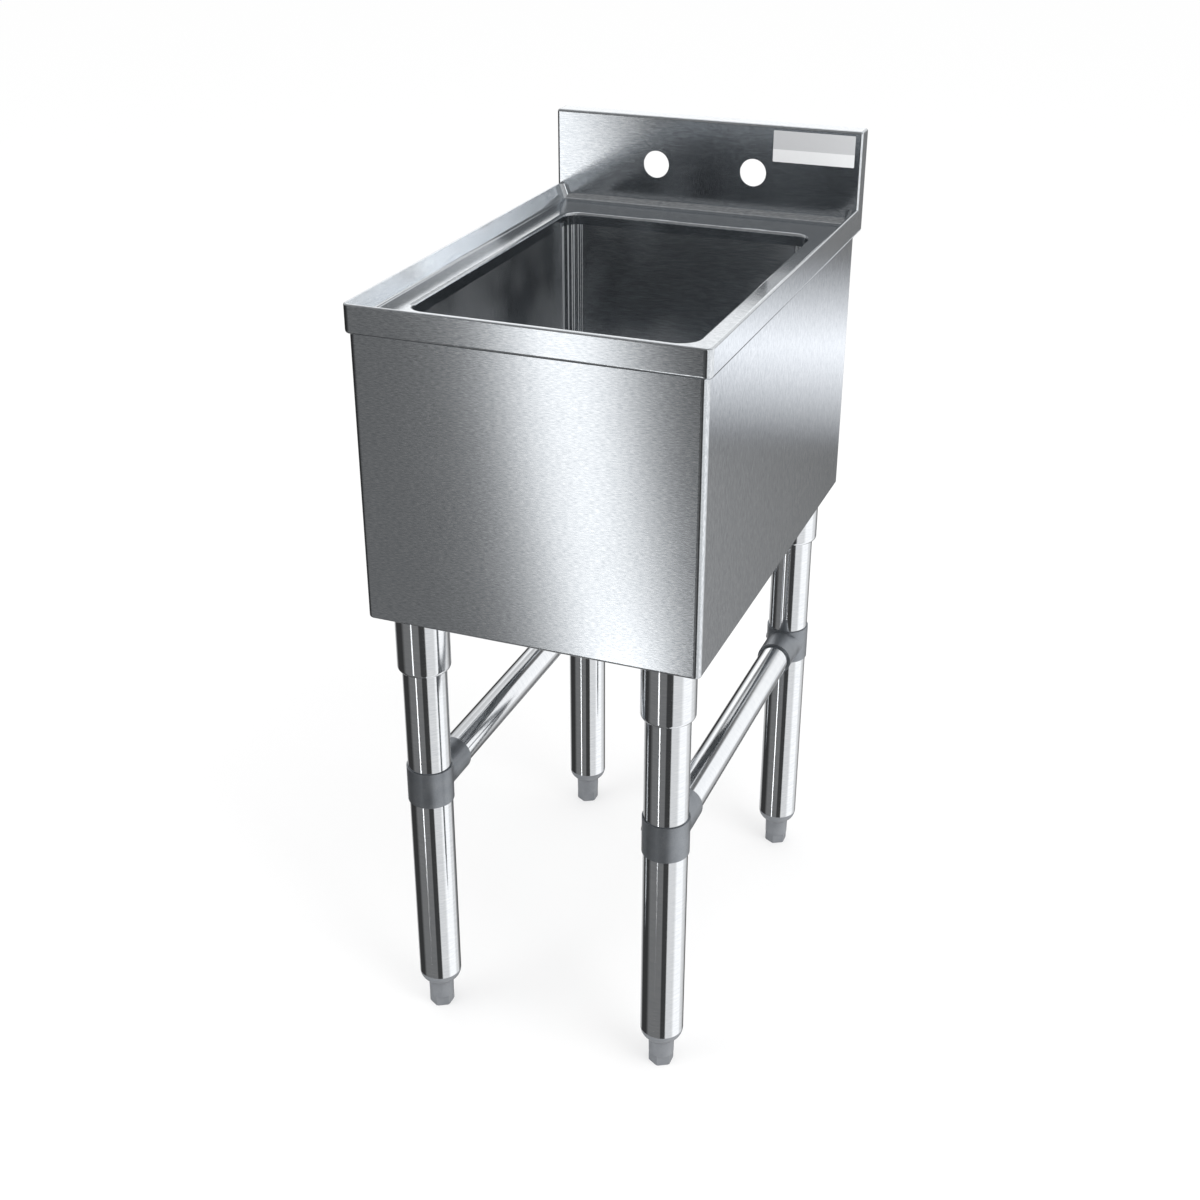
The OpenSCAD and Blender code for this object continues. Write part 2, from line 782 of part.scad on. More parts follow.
// Flanged outlet tube
module tailpiece() {
    inner_r = tail_d / 2 - tail_wall;
    color(CHROME) at_drain() rotate_extrude() {
        translate([inner_r, tail_low]) square([tail_wall, tail_h + tail_flange_t]);
        translate([inner_r, tail_top - tail_flange_t]) square([tail_flange_r - inner_r, tail_flange_t]);
    }
}

module tailpiece_washer() {
    color(BLACK_RUBBER) ring(drain_low, tail_washer_t, tail_flange_r, tail_d / 2 - tail_wall);
}

// Hex nut that draws the tailpiece up to the drain's body
module slip_nut() {
    low = tail_top - tail_flange_t - slip_nut_base;
    inside = slip_nut_base + tail_flange_t + tail_washer_t + slip_nut_grip;
    color(CHROME) at_drain() translate([0, 0, low]) difference() {
        cylinder(h = inside, r = slip_nut_r, $fn = 6);
        translate([0, 0, slip_nut_base]) cylinder(h = inside, r = drain_body_d / 2 + tube_gap);
        translate([0, 0, -cut]) cylinder(h = inside, r = tail_d / 2 + slip_nut_gap);
    }
}

// Ring of holes through the cup's floor
module floor_holes(count, ring_r, turn) {
    for (hole = [1 : count]) rotate(hole * 360 / count + turn) translate([ring_r, 0, cup_low - cut])
        cylinder(h = strainer_t + 2 * cut, d = strainer_hole_d);
}

// Cup with a flat rim and a perforated floor
module strainer_basket() {
    inner_r = cup_r - strainer_t;
    eye_r = rivet_r + rivet_gap;
    color(CHROME) at_drain() difference() {
        rotate_extrude() {
            translate([inner_r, strainer_z]) square([strainer_rim_d / 2 - inner_r, strainer_t]);
            translate([inner_r, cup_low]) square([strainer_t, strainer_cup_h]);
            translate([eye_r, cup_low]) square([cup_r - eye_r, strainer_t]);
        }
        floor_holes(cup_holes, inner_r - strainer_hole_d, 0);
        floor_holes(inner_holes, (inner_r + knob_r - strainer_hole_d) / 2, inner_hole_turn);
    }
}

// Turned knob to lift the cup by, on a post that is riveted through the cup's floor
module strainer_knob() {
    knob_top = strainer_z + knob_rise;
    post_low = cup_low + strainer_t;
    color(CHROME) at_drain() rotate_extrude() {
        translate([0, cup_low - rivet_head_h]) square([rivet_head_r, rivet_head_h]);
        translate([0, cup_low]) square([rivet_r, strainer_t]);
        translate([0, post_low]) square([knob_neck_r, knob_top - knob_h - post_low]);
        edge_section(knob_r, knob_top - knob_h, knob_top, knob_edge_r, knob_edge_r);
    }
}

top_deck();
bowl();
apron();
leg_channel(channel_front);  // front_leg_channel
leg_channel(channel_rear);  // rear_leg_channel
leg_socket(0);  // leg_socket_fl
leg_socket(1);  // leg_socket_fr
leg_socket(2);  // leg_socket_rl
leg_socket(3);  // leg_socket_rr
leg(0);  // leg_fl
leg(1);  // leg_fr
leg(2);  // leg_rl
leg(3);  // leg_rr
brace_tee(0);  // brace_tee_fl
brace_tee(1);  // brace_tee_fr
brace_tee(2);  // brace_tee_rl
brace_tee(3);  // brace_tee_rr
side_brace(-leg_x);  // side_brace_left
side_brace(leg_x);  // side_brace_right
socket_screws();
tee_screws();
foot_insert(0);  // foot_insert_fl
foot_insert(1);  // foot_insert_fr
foot_insert(2);  // foot_insert_rl
foot_insert(3);  // foot_insert_rr
levelling_foot(0);  // levelling_foot_fl
levelling_foot(1);  // levelling_foot_fr
levelling_foot(2);  // levelling_foot_rl
levelling_foot(3);  // levelling_foot_rr
drain_body();
drain_gasket();
under_washer();
friction_washer();
drain_locknut();
tailpiece();
tailpiece_washer();
slip_nut();
strainer_basket();
strainer_knob();
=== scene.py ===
"""Looks of an underbar dump sink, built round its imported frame.

Metres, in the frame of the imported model: +X is the sink's right-hand side, +Y is the wall and +Z is up.
"""

import logging
import math
from dataclasses import dataclass, replace
from enum import Enum

import bmesh
import bpy
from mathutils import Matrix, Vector


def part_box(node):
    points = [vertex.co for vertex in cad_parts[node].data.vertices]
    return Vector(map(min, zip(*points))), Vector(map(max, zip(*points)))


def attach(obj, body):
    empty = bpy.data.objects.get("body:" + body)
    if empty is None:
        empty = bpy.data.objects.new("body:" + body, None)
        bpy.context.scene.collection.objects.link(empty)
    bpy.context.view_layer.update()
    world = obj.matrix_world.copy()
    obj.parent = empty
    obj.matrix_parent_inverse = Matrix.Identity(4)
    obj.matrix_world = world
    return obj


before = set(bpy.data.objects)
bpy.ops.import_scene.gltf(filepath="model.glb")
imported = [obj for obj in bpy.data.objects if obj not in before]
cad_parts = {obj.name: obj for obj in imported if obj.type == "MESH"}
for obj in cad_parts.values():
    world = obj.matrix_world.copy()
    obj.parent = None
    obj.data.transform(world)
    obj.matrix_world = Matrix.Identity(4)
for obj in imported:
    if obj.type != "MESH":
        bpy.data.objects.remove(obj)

LOG = logging.getLogger("dump_sink")
MM = 0.001
CORNERS = ("fl", "fr", "rl", "rr")
# Most values of a noise texture lie between the first two, and most products of two between the others
NOISE_LOW, NOISE_HIGH = 0.3, 0.7
PRODUCT_LOW, PRODUCT_HIGH = 0.1, 0.4
# A face belongs to a folded-down side when its normal leans sideways by more than this
SIDE_LEAN = 0.75


def linear(shade: str) -> tuple[float, float, float, float]:
    """Turns an sRGB hex colour into the linear colour that a shader takes.

    Args:
        shade: The colour as six hex digits after a hash sign.

    Returns:
        Red, green, blue and alpha.
    """
    parts = [int(shade[at:at + 2], 16) / 255 for at in (1, 3, 5)]
    red, green, blue = (
        part / 12.92 if part <= 0.04045 else ((part + 0.055) / 1.055) ** 2.4 for part in parts
    )
    return red, green, blue, 1.0


def add_node(
    tree: bpy.types.NodeTree, kind: str, values: dict[str | int, object] | None = None, **settings: object
) -> bpy.types.Node:
    """Adds a node to a tree, with its settings, and sets or links its inputs.

    Args:
        tree: The tree that takes the node.
        kind: The node's type name.
        values: Input names or indices, each with a plain value or the output socket that feeds it.
        **settings: Properties of the node, such as its operation.

    Returns:
        The new node.
    """
    made = tree.nodes.new(kind)
    for name, setting in settings.items():
        setattr(made, name, setting)
    for key, value in (values or {}).items():
        if isinstance(value, bpy.types.NodeSocket):
            tree.links.new(value, made.inputs[key])
        else:
            made.inputs[key].default_value = value
    return made


def empty_material(name: str) -> bpy.types.Material:
    """Makes a material with nothing in its tree.

    Args:
        name: The finish's plain name.

    Returns:
        The material.
    """
    material = bpy.data.materials.new(name)
    material.use_nodes = True
    material.node_tree.nodes.clear()
    return material


class Lay(Enum):
    """How the grain lies on a piece."""

    FOLDED = "side to side, and upright on the folded-down sides"
    ROUND_Z = "round an upright tube"
    ROUND_Y = "round a tube that runs front to rear"


@dataclass(frozen=True)
class GrainedSteel:
    """Stainless steel whose surface was ground or polished in one direction.

    The grain gives the eye highlights that are drawn out across it, and fine short streaks.
    """

    name: str
    shade: str
    streak_shade: str
    lay: Lay
    roughness: float
    roughness_swing: float
    anisotropy: float
    grain_width_mm: float
    grain_length_mm: float
    relief_mm: float
    cloud_mm: float = 60.0
    metallic: float = 1.0

    def coordinates(self, tree: bpy.types.NodeTree) -> tuple[bpy.types.NodeSocket, bpy.types.NodeSocket]:
        """Adds the grain's coordinates and the direction in which it draws out highlights.

        Args:
            tree: The material's tree.

        Returns:
            The coordinates, in grain widths and lengths, and the tangent.
        """
        place = add_node(tree, "ShaderNodeTexCoord").outputs["Object"]
        width = 1 / (self.grain_width_mm * MM)
        length = 1 / (self.grain_length_mm * MM)
        if self.lay is Lay.FOLDED:
            across, upright = (
                add_node(tree, "ShaderNodeVectorMath", {0: place, 1: scale}, operation="MULTIPLY")
                for scale in ((length, width, width), (width, width, length))
            )
            normal = add_node(tree, "ShaderNodeNewGeometry").outputs["Normal"]
            parts = add_node(tree, "ShaderNodeSeparateXYZ", {"Vector": normal})
            lean = add_node(tree, "ShaderNodeMath", {0: parts.outputs["X"]}, operation="ABSOLUTE")
            side = add_node(
                tree, "ShaderNodeMath", {0: lean.outputs[0], 1: SIDE_LEAN}, operation="GREATER_THAN"
            )
            chosen = add_node(
                tree, "ShaderNodeMix", {0: side.outputs[0], 4: across.outputs[0], 5: upright.outputs[0]},
                data_type="VECTOR",
            )
            run = add_node(
                tree, "ShaderNodeMix", {0: side.outputs[0], 4: (1.0, 0.0, 0.0), 5: (0.0, 0.0, 1.0)},
                data_type="VECTOR",
            )
            tangent = add_node(
                tree, "ShaderNodeVectorMath", {0: normal, 1: run.outputs[1]}, operation="CROSS_PRODUCT"
            )
            return chosen.outputs[1], tangent.outputs[0]
        axis = (0.0, 0.0, 1.0) if self.lay is Lay.ROUND_Z else (0.0, 1.0, 0.0)
        scale = tuple(width if part else length for part in axis)
        round_it = add_node(tree, "ShaderNodeVectorMath", {0: place, 1: scale}, operation="MULTIPLY")
        along = add_node(tree, "ShaderNodeCombineXYZ", {"X": axis[0], "Y": axis[1], "Z": axis[2]})
        return round_it.outputs[0], along.outputs[0]

    def material(self) -> bpy.types.Material:
        """Builds the finish.

        Returns:
            The material.
        """
        material = empty_material(self.name)
        tree = material.node_tree
        grain_at, tangent = self.coordinates(tree)
        grain = add_node(tree, "ShaderNodeTexNoise", {"Vector": grain_at, "Scale": 1.0, "Detail": 3.0})
        place = add_node(tree, "ShaderNodeTexCoord").outputs["Object"]
        clouds = add_node(
            tree, "ShaderNodeTexNoise", {"Vector": place, "Scale": 1 / (self.cloud_mm * MM), "Detail": 2.0}
        )
        mixed = add_node(
            tree, "ShaderNodeMath", {0: grain.outputs["Fac"], 1: clouds.outputs["Fac"]}, operation="ADD"
        )
        share = add_node(tree, "ShaderNodeMapRange", {
            "Value": grain.outputs["Fac"], "From Min": NOISE_LOW, "From Max": NOISE_HIGH,
        })
        colour = add_node(
            tree, "ShaderNodeMix",
            {0: share.outputs[0], 6: linear(self.streak_shade), 7: linear(self.shade)}, data_type="RGBA",
        )
        rough = add_node(tree, "ShaderNodeMapRange", {
            "Value": mixed.outputs[0], "From Min": 2 * NOISE_LOW, "From Max": 2 * NOISE_HIGH,
            "To Min": self.roughness - self.roughness_swing,
            "To Max": self.roughness + self.roughness_swing,
        })
        bump = add_node(tree, "ShaderNodeBump", {
            "Height": grain.outputs["Fac"], "Strength": 1.0, "Distance": self.relief_mm * MM,
        })
        shader = add_node(tree, "ShaderNodeBsdfPrincipled", {
            "Base Color": colour.outputs[2], "Metallic": self.metal(tree), "Roughness": rough.outputs[0],
            "Normal": bump.outputs[0], "Anisotropic": self.anisotropy, "Tangent": tangent,
        })
        add_node(tree, "ShaderNodeOutputMaterial", {"Surface": shader.outputs[0]})
        return material

    def metal(self, tree: bpy.types.NodeTree) -> bpy.types.NodeSocket | float:
        """Gives the share of clear metal at each place, which is the same all over a plain sheet."""
        return self.metallic


@dataclass(frozen=True)
class CornerGroundSteel(GrainedSteel):
    """Grained steel whose upright rear corners were ground by hand.

    The grinding gives the eye upright light and dark stripes round each corner.
    """

    # Where the rear corners' rounding has its upright axis
    corner_x: float = 110.0 * MM
    corner_y: float = 152.075 * MM
    # Stripes in a radian, the noise values that they fade between, and their share of clear metal
    stripes: float = 8.0
    stripe_fade: tuple[float, float] = (0.5, 0.58)
    ground_metal: float = 0.1
    # Size of the faint haze on the walls, the noise values that it fades between, and its share of metal
    haze_size: float = 110.0 * MM
    haze_fade: tuple[float, float] = (0.45, 0.68)
    haze_metal: float = 0.72

    def metal(self, tree: bpy.types.NodeTree) -> bpy.types.NodeSocket | float:
        """Adds stripes of scattered light round the corners, and a faint haze on the walls.

        Args:
            tree: The material's tree.

        Returns:
            The share of clear metal.
        """
        place = add_node(tree, "ShaderNodeTexCoord").outputs["Object"]
        parts = add_node(tree, "ShaderNodeSeparateXYZ", {"Vector": place})
        out = add_node(tree, "ShaderNodeMath", {0: parts.outputs["X"]}, operation="ABSOLUTE")
        past_x = add_node(tree, "ShaderNodeMath", {0: out.outputs[0], 1: self.corner_x}, operation="SUBTRACT")
        past_y = add_node(
            tree, "ShaderNodeMath", {0: parts.outputs["Y"], 1: self.corner_y}, operation="SUBTRACT"
        )
        turn = add_node(
            tree, "ShaderNodeMath", {0: past_y.outputs[0], 1: past_x.outputs[0]}, operation="ARCTAN2"
        )
        bands = add_node(
            tree, "ShaderNodeTexNoise", {"W": turn.outputs[0], "Scale": self.stripes, "Detail": 1.0},
            noise_dimensions="1D",
        )
        ground = add_node(tree, "ShaderNodeMapRange", {
            "Value": bands.outputs["Fac"], "From Min": self.stripe_fade[0], "From Max": self.stripe_fade[1],
            "To Min": self.metallic, "To Max": self.ground_metal,
        })
        near = add_node(
            tree, "ShaderNodeMath", {0: past_x.outputs[0], 1: past_y.outputs[0]}, operation="MINIMUM"
        )
        inside = add_node(
            tree, "ShaderNodeMath", {0: near.outputs[0], 1: 0.0}, operation="GREATER_THAN"
        )
        haze = add_node(
            tree, "ShaderNodeTexNoise", {"Vector": place, "Scale": 1 / self.haze_size, "Detail": 2.0}
        )
        wall = add_node(tree, "ShaderNodeMapRange", {
            "Value": haze.outputs["Fac"], "From Min": self.haze_fade[0], "From Max": self.haze_fade[1],
            "To Min": self.metallic, "To Max": self.haze_metal,
        })
        chosen = add_node(tree, "ShaderNodeMix", {
            0: inside.outputs[0], 2: wall.outputs[0], 3: ground.outputs[0],
        }, data_type="FLOAT")
        return chosen.outputs[0]


@dataclass(frozen=True)
class PlainSurface:
    """Cast, moulded, plated or cut material with a speckled skin.

    The speckle gives the eye small changes of colour and sheen and a slightly uneven surface.
    """

    name: str
    shade: str
    speck_shade: str
    metallic: float
    roughness: float
    roughness_swing: float
    speck_mm: float
    relief_mm: float
    # How many specks wide the larger patches are
    patch_specks: float = 18.0

    def material(self) -> bpy.types.Material:
        """Builds the finish.

        Returns:
            The material.
        """
        material = empty_material(self.name)
        tree = material.node_tree
        place = add_node(tree, "ShaderNodeTexCoord").outputs["Object"]
        speck_scale = 1 / (self.speck_mm * MM)
        specks = add_node(
            tree, "ShaderNodeTexNoise", {"Vector": place, "Scale": speck_scale, "Detail": 4.0}
        )
        patches = add_node(tree, "ShaderNodeTexNoise", {
            "Vector": place, "Scale": speck_scale / self.patch_specks, "Detail": 2.0,
        })
        mixed = add_node(tree, "ShaderNodeMath", {
            0: specks.outputs["Fac"], 1: patches.outputs["Fac"],
        }, operation="MULTIPLY")
        share = add_node(tree, "ShaderNodeMapRange", {
            "Value": mixed.outputs[0], "From Min": PRODUCT_LOW, "From Max": PRODUCT_HIGH,
        })
        colour = add_node(
            tree, "ShaderNodeMix",
            {0: share.outputs[0], 6: linear(self.speck_shade), 7: linear(self.shade)}, data_type="RGBA",
        )
        rough = add_node(tree, "ShaderNodeMapRange", {
            "Value": patches.outputs["Fac"], "From Min": NOISE_LOW, "From Max": NOISE_HIGH,
            "To Min": self.roughness - self.roughness_swing,
            "To Max": self.roughness + self.roughness_swing,
        })
        bump = add_node(tree, "ShaderNodeBump", {
            "Height": specks.outputs["Fac"], "Strength": 1.0, "Distance": self.relief_mm * MM,
        })
        shader = add_node(tree, "ShaderNodeBsdfPrincipled", {
            "Base Color": colour.outputs[2], "Metallic": self.metallic, "Roughness": rough.outputs[0],
            "Normal": bump.outputs[0],
        })
        add_node(tree, "ShaderNodeOutputMaterial", {"Surface": shader.outputs[0]})
        return material


# Stainless sheet with a short horizontal grain: soft, drawn-out highlights with fine streaks
DECK_SHEET = GrainedSteel(
    "stainless_sheet_short_grain", "#DCDFE2", "#B8BDC2", Lay.FOLDED, roughness=0.14, roughness_swing=0.008,
    anisotropy=0.55, grain_width_mm=0.7, grain_length_mm=4.8, relief_mm=0.0006,
)
# The same sheet on the skirt: its wide front shows the grain most clearly
SKIRT_SHEET = replace(
    DECK_SHEET, name="stainless_skirt_short_grain", shade="#DEE1E4", streak_shade="#B4B9BE"
)
# Drawn and welded bowl with a fine grain, a dull veil and ground corners; its shade is painted darker than
# the deck's, as painted shade of its deep recess
BOWL_SHEET_PAINTED_SHADE = CornerGroundSteel(
    "stainless_bowl_fine_grain_painted_shade", "#CDD0D3", "#AEB2B6", Lay.FOLDED, roughness=0.2, roughness_swing=0.02,
    anisotropy=0.5, grain_width_mm=0.8, grain_length_mm=9.0, relief_mm=0.002, metallic=0.97,
)
# Mill-finished channel: duller, with long faint rolling marks
CHANNEL_SHEET = GrainedSteel(
    "stainless_mill_finish", "#B4B8BB", "#A4A8AB", Lay.FOLDED, roughness=0.38, roughness_swing=0.05,
    anisotropy=0.3, grain_width_mm=0.9, grain_length_mm=30.0, relief_mm=0.008,
)
# Polished tube: mirror-like, with faint rings left by the polishing wheel
UPRIGHT_TUBE = GrainedSteel(
    "polished_tube_faint_rings", "#E6E8EA", "#D8DBDF", Lay.ROUND_Z, roughness=0.1, roughness_swing=0.01,
    anisotropy=0.6, grain_width_mm=0.8, grain_length_mm=10.0, relief_mm=0.0005,
)
# The same tube laid level, so its rings stand the other way
LEVEL_TUBE = replace(UPRIGHT_TUBE, name="polished_brace_faint_rings", lay=Lay.ROUND_Y)
# Pressed and polished stainless basket
BASKET_STEEL = GrainedSteel(
    "pressed_stainless_basket", "#D4D7DA", "#C2C6CA", Lay.ROUND_Z, roughness=0.18, roughness_swing=0.04,
    anisotropy=0.3, grain_width_mm=0.4, grain_length_mm=6.0, relief_mm=0.004,
)
# Sand-cast fitting, tumbled: grey, with a soft metal sheen on a slightly rough skin
CAST_FITTING = PlainSurface(
    "tumbled_grey_casting", "#93979C", "#7E8287", metallic=0.85, roughness=0.38, roughness_swing=0.05,
    speck_mm=0.9, relief_mm=0.02,
)
# Glass-filled nylon: mid grey, low sheen and a fine moulded texture
MOULDED_NYLON = PlainSurface(
    "moulded_grey_nylon", "#888B8F", "#7A7D82", metallic=0.0, roughness=0.4, roughness_swing=0.08,
    speck_mm=0.6, relief_mm=0.012,
)
# Chromed brass: bright and smooth, with faint clouds in the plating
CHROMED_BRASS = PlainSurface(
    "chromed_brass", "#DDE0E3", "#D0D3D7", metallic=1.0, roughness=0.09, roughness_swing=0.03,
    speck_mm=2.0, relief_mm=0.002,
)
# Black rubber: dull, with a dusty skin
BLACK_RUBBER = PlainSurface(
    "black_rubber_washer", "#1C1C1E", "#2A2A2C", metallic=0.0, roughness=0.7, roughness_swing=0.1,
    speck_mm=0.5, relief_mm=0.03,
)
# Pressed fibre: tan, dry and faintly mottled
PRESSED_FIBRE = PlainSurface(
    "pressed_fibre_washer", "#A2937A", "#8C7E67", metallic=0.0, roughness=0.8, roughness_swing=0.08,
    speck_mm=0.7, relief_mm=0.03,
)
# Plain stainless set screw
SCREW_STEEL = PlainSurface(
    "stainless_set_screw", "#B9BCC0", "#A6A9AD", metallic=1.0, roughness=0.3, roughness_swing=0.05,
    speck_mm=0.4, relief_mm=0.004,
)


def dress(nodes: list[str], finish: GrainedSteel | PlainSurface) -> None:
    """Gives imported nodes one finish.

    Args:
        nodes: The nodes' names.
        finish: The finish.
    """
    material = finish.material()
    for name in nodes:
        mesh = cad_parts[name].data
        mesh.materials.clear()
        mesh.materials.append(material)
        LOG.info("%s: %s", name, finish.name)


def corners(stem: str) -> list[str]:
    """Names a piece at each of the four legs."""
    return [f"{stem}_{corner}" for corner in CORNERS]


@dataclass
class DeckAndBowl:
    """The formed deck with its rim and splash, and the bowl under it."""

    deck_finish: GrainedSteel = DECK_SHEET
    # The bowl's sheet has a darker shade, painted shade of the recess
    bowl_finish: GrainedSteel = BOWL_SHEET_PAINTED_SHADE

    def dress(self) -> None:
        """Gives the two sheets their finishes."""
        dress(["top_deck"], self.deck_finish)
        dress(["bowl"], self.bowl_finish)


@dataclass
class SkirtAndChannels:
    """The skirt round three sides and the two channels that carry the bowl."""

    skirt_finish: GrainedSteel = SKIRT_SHEET
    channel_finish: GrainedSteel = CHANNEL_SHEET

    def dress(self) -> None:
        """Gives the skirt and the channels their finishes."""
        dress(["apron"], self.skirt_finish)
        dress(["front_leg_channel", "rear_leg_channel"], self.channel_finish)


@dataclass
class LegFrame:
    """Sockets, legs, tees, side braces and their set screws."""

    def dress(self) -> None:
        """Gives each piece of the leg frame its finish."""
        dress(corners("leg_socket") + corners("leg"), UPRIGHT_TUBE)
        dress(["side_brace_left", "side_brace_right"], LEVEL_TUBE)
        dress(corners("brace_tee"), CAST_FITTING)
        dress(["socket_screws", "tee_screws"], SCREW_STEEL)


@dataclass
class ScrewFeet:
    """The inserts in the legs' ends, and the feet with their screw threads."""

    shank_r: float = 9.5 * MM
    ridge: float = 0.24 * MM
    pitch: float = 2.5 * MM
    thread_low: float = 35.0 * MM
    thread_high: float = 92.0 * MM
    steps_a_turn: int = 24
    ridge_sides: int = 4

    def thread_tree(self, material: bpy.types.Material) -> bpy.types.NodeTree:
        """Builds the node tree that winds a ridge round a foot's shank.

        Args:
            material: The material of the ridge.

        Returns:
            The tree.
        """
        tree = bpy.data.node_groups.new("foot_thread", "GeometryNodeTree")
        for name, kind in (
            ("Shank Radius", "NodeSocketFloat"), ("Ridge", "NodeSocketFloat"), ("Pitch", "NodeSocketFloat"),
            ("Length", "NodeSocketFloat"), ("Steps", "NodeSocketInt"), ("Start", "NodeSocketVector"),
        ):
            tree.interface.new_socket(name=name, in_out="INPUT", socket_type=kind)
        tree.interface.new_socket(name="Geometry", in_out="OUTPUT", socket_type="NodeSocketGeometry")
        inputs = add_node(tree, "NodeGroupInput").outputs
        turns = add_node(
            tree, "ShaderNodeMath", {0: inputs["Length"], 1: inputs["Pitch"]}, operation="DIVIDE"
        )
        helix = add_node(tree, "GeometryNodeCurveSpiral", {
            "Resolution": inputs["Steps"], "Rotations": turns.outputs[0],
            "Start Radius": inputs["Shank Radius"], "End Radius": inputs["Shank Radius"],
            "Height": inputs["Length"],
        })
        section = add_node(tree, "GeometryNodeCurvePrimitiveCircle", {
            "Resolution": self.ridge_sides, "Radius": inputs["Ridge"],
        })
        ridge = add_node(tree, "GeometryNodeCurveToMesh", {
            "Curve": helix.outputs["Curve"], "Profile Curve": section.outputs["Curve"], "Fill Caps": True,
        })
        placed = add_node(
            tree, "GeometryNodeTransform", {"Geometry": ridge.outputs["Mesh"], "Translation": inputs["Start"]}
        )
        whole = add_node(tree, "GeometryNodeRealizeInstances", {"Geometry": placed.outputs["Geometry"]})
        dressed = add_node(
            tree, "GeometryNodeSetMaterial", {"Geometry": whole.outputs["Geometry"], "Material": material}
        )
        add_node(tree, "NodeGroupOutput", {0: dressed.outputs["Geometry"]})
        return tree

    def thread(self, corner: str, tree: bpy.types.NodeTree) -> bpy.types.Object:
        """Winds the thread of one foot.

        Args:
            corner: The leg's short name.
            tree: The tree that winds it.

        Returns:
            The thread, as a plain mesh.
        """
        low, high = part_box(f"levelling_foot_{corner}")
        middle = (low + high) / 2
        name = f"thread_blank_{corner}"
        blank = bpy.data.objects.new(name, bpy.data.meshes.new(name))
        bpy.context.scene.collection.objects.link(blank)
        modifier = blank.modifiers.new("thread", "NODES")
        modifier.node_group = tree
        sizes = {
            "Shank Radius": self.shank_r, "Ridge": self.ridge, "Pitch": self.pitch,
            "Length": self.thread_high - self.thread_low, "Steps": self.steps_a_turn,
            "Start": (middle.x, middle.y, self.thread_low),
        }
        for item in tree.interface.items_tree:
            if item.in_out == "INPUT":
                modifier[item.identifier] = sizes[item.name]
        evaluated = blank.evaluated_get(bpy.context.evaluated_depsgraph_get())
        mesh = bpy.data.meshes.new_from_object(evaluated)
        made = bpy.data.objects.new(f"foot_thread_{corner}", mesh)
        bpy.context.scene.collection.objects.link(made)
        bpy.data.objects.remove(blank)
        return made

    def build(self) -> None:
        """Winds the four threads and puts each on its foot."""
        tree = self.thread_tree(MOULDED_NYLON.material())
        for corner in CORNERS:
            thread = self.thread(corner, tree)
            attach(thread, f"foot_{corner}")
            LOG.info("%s: %d faces", thread.name, len(thread.data.polygons))

    def dress(self) -> None:
        """Gives the inserts and the feet their finish."""
        dress(corners("foot_insert") + corners("levelling_foot"), MOULDED_NYLON)


@dataclass
class DrainStack:
    """The drain, its washers and nuts, the tailpiece and the strainer."""

    def dress(self) -> None:
        """Gives each piece of the drain its finish."""
        dress(["drain_body", "drain_locknut", "tailpiece", "slip_nut"], CHROMED_BRASS)
        dress(["drain_gasket", "under_washer", "tailpiece_washer"], BLACK_RUBBER)
        dress(["friction_washer"], PRESSED_FIBRE)
        dress(["strainer_basket", "strainer_knob"], BASKET_STEEL)


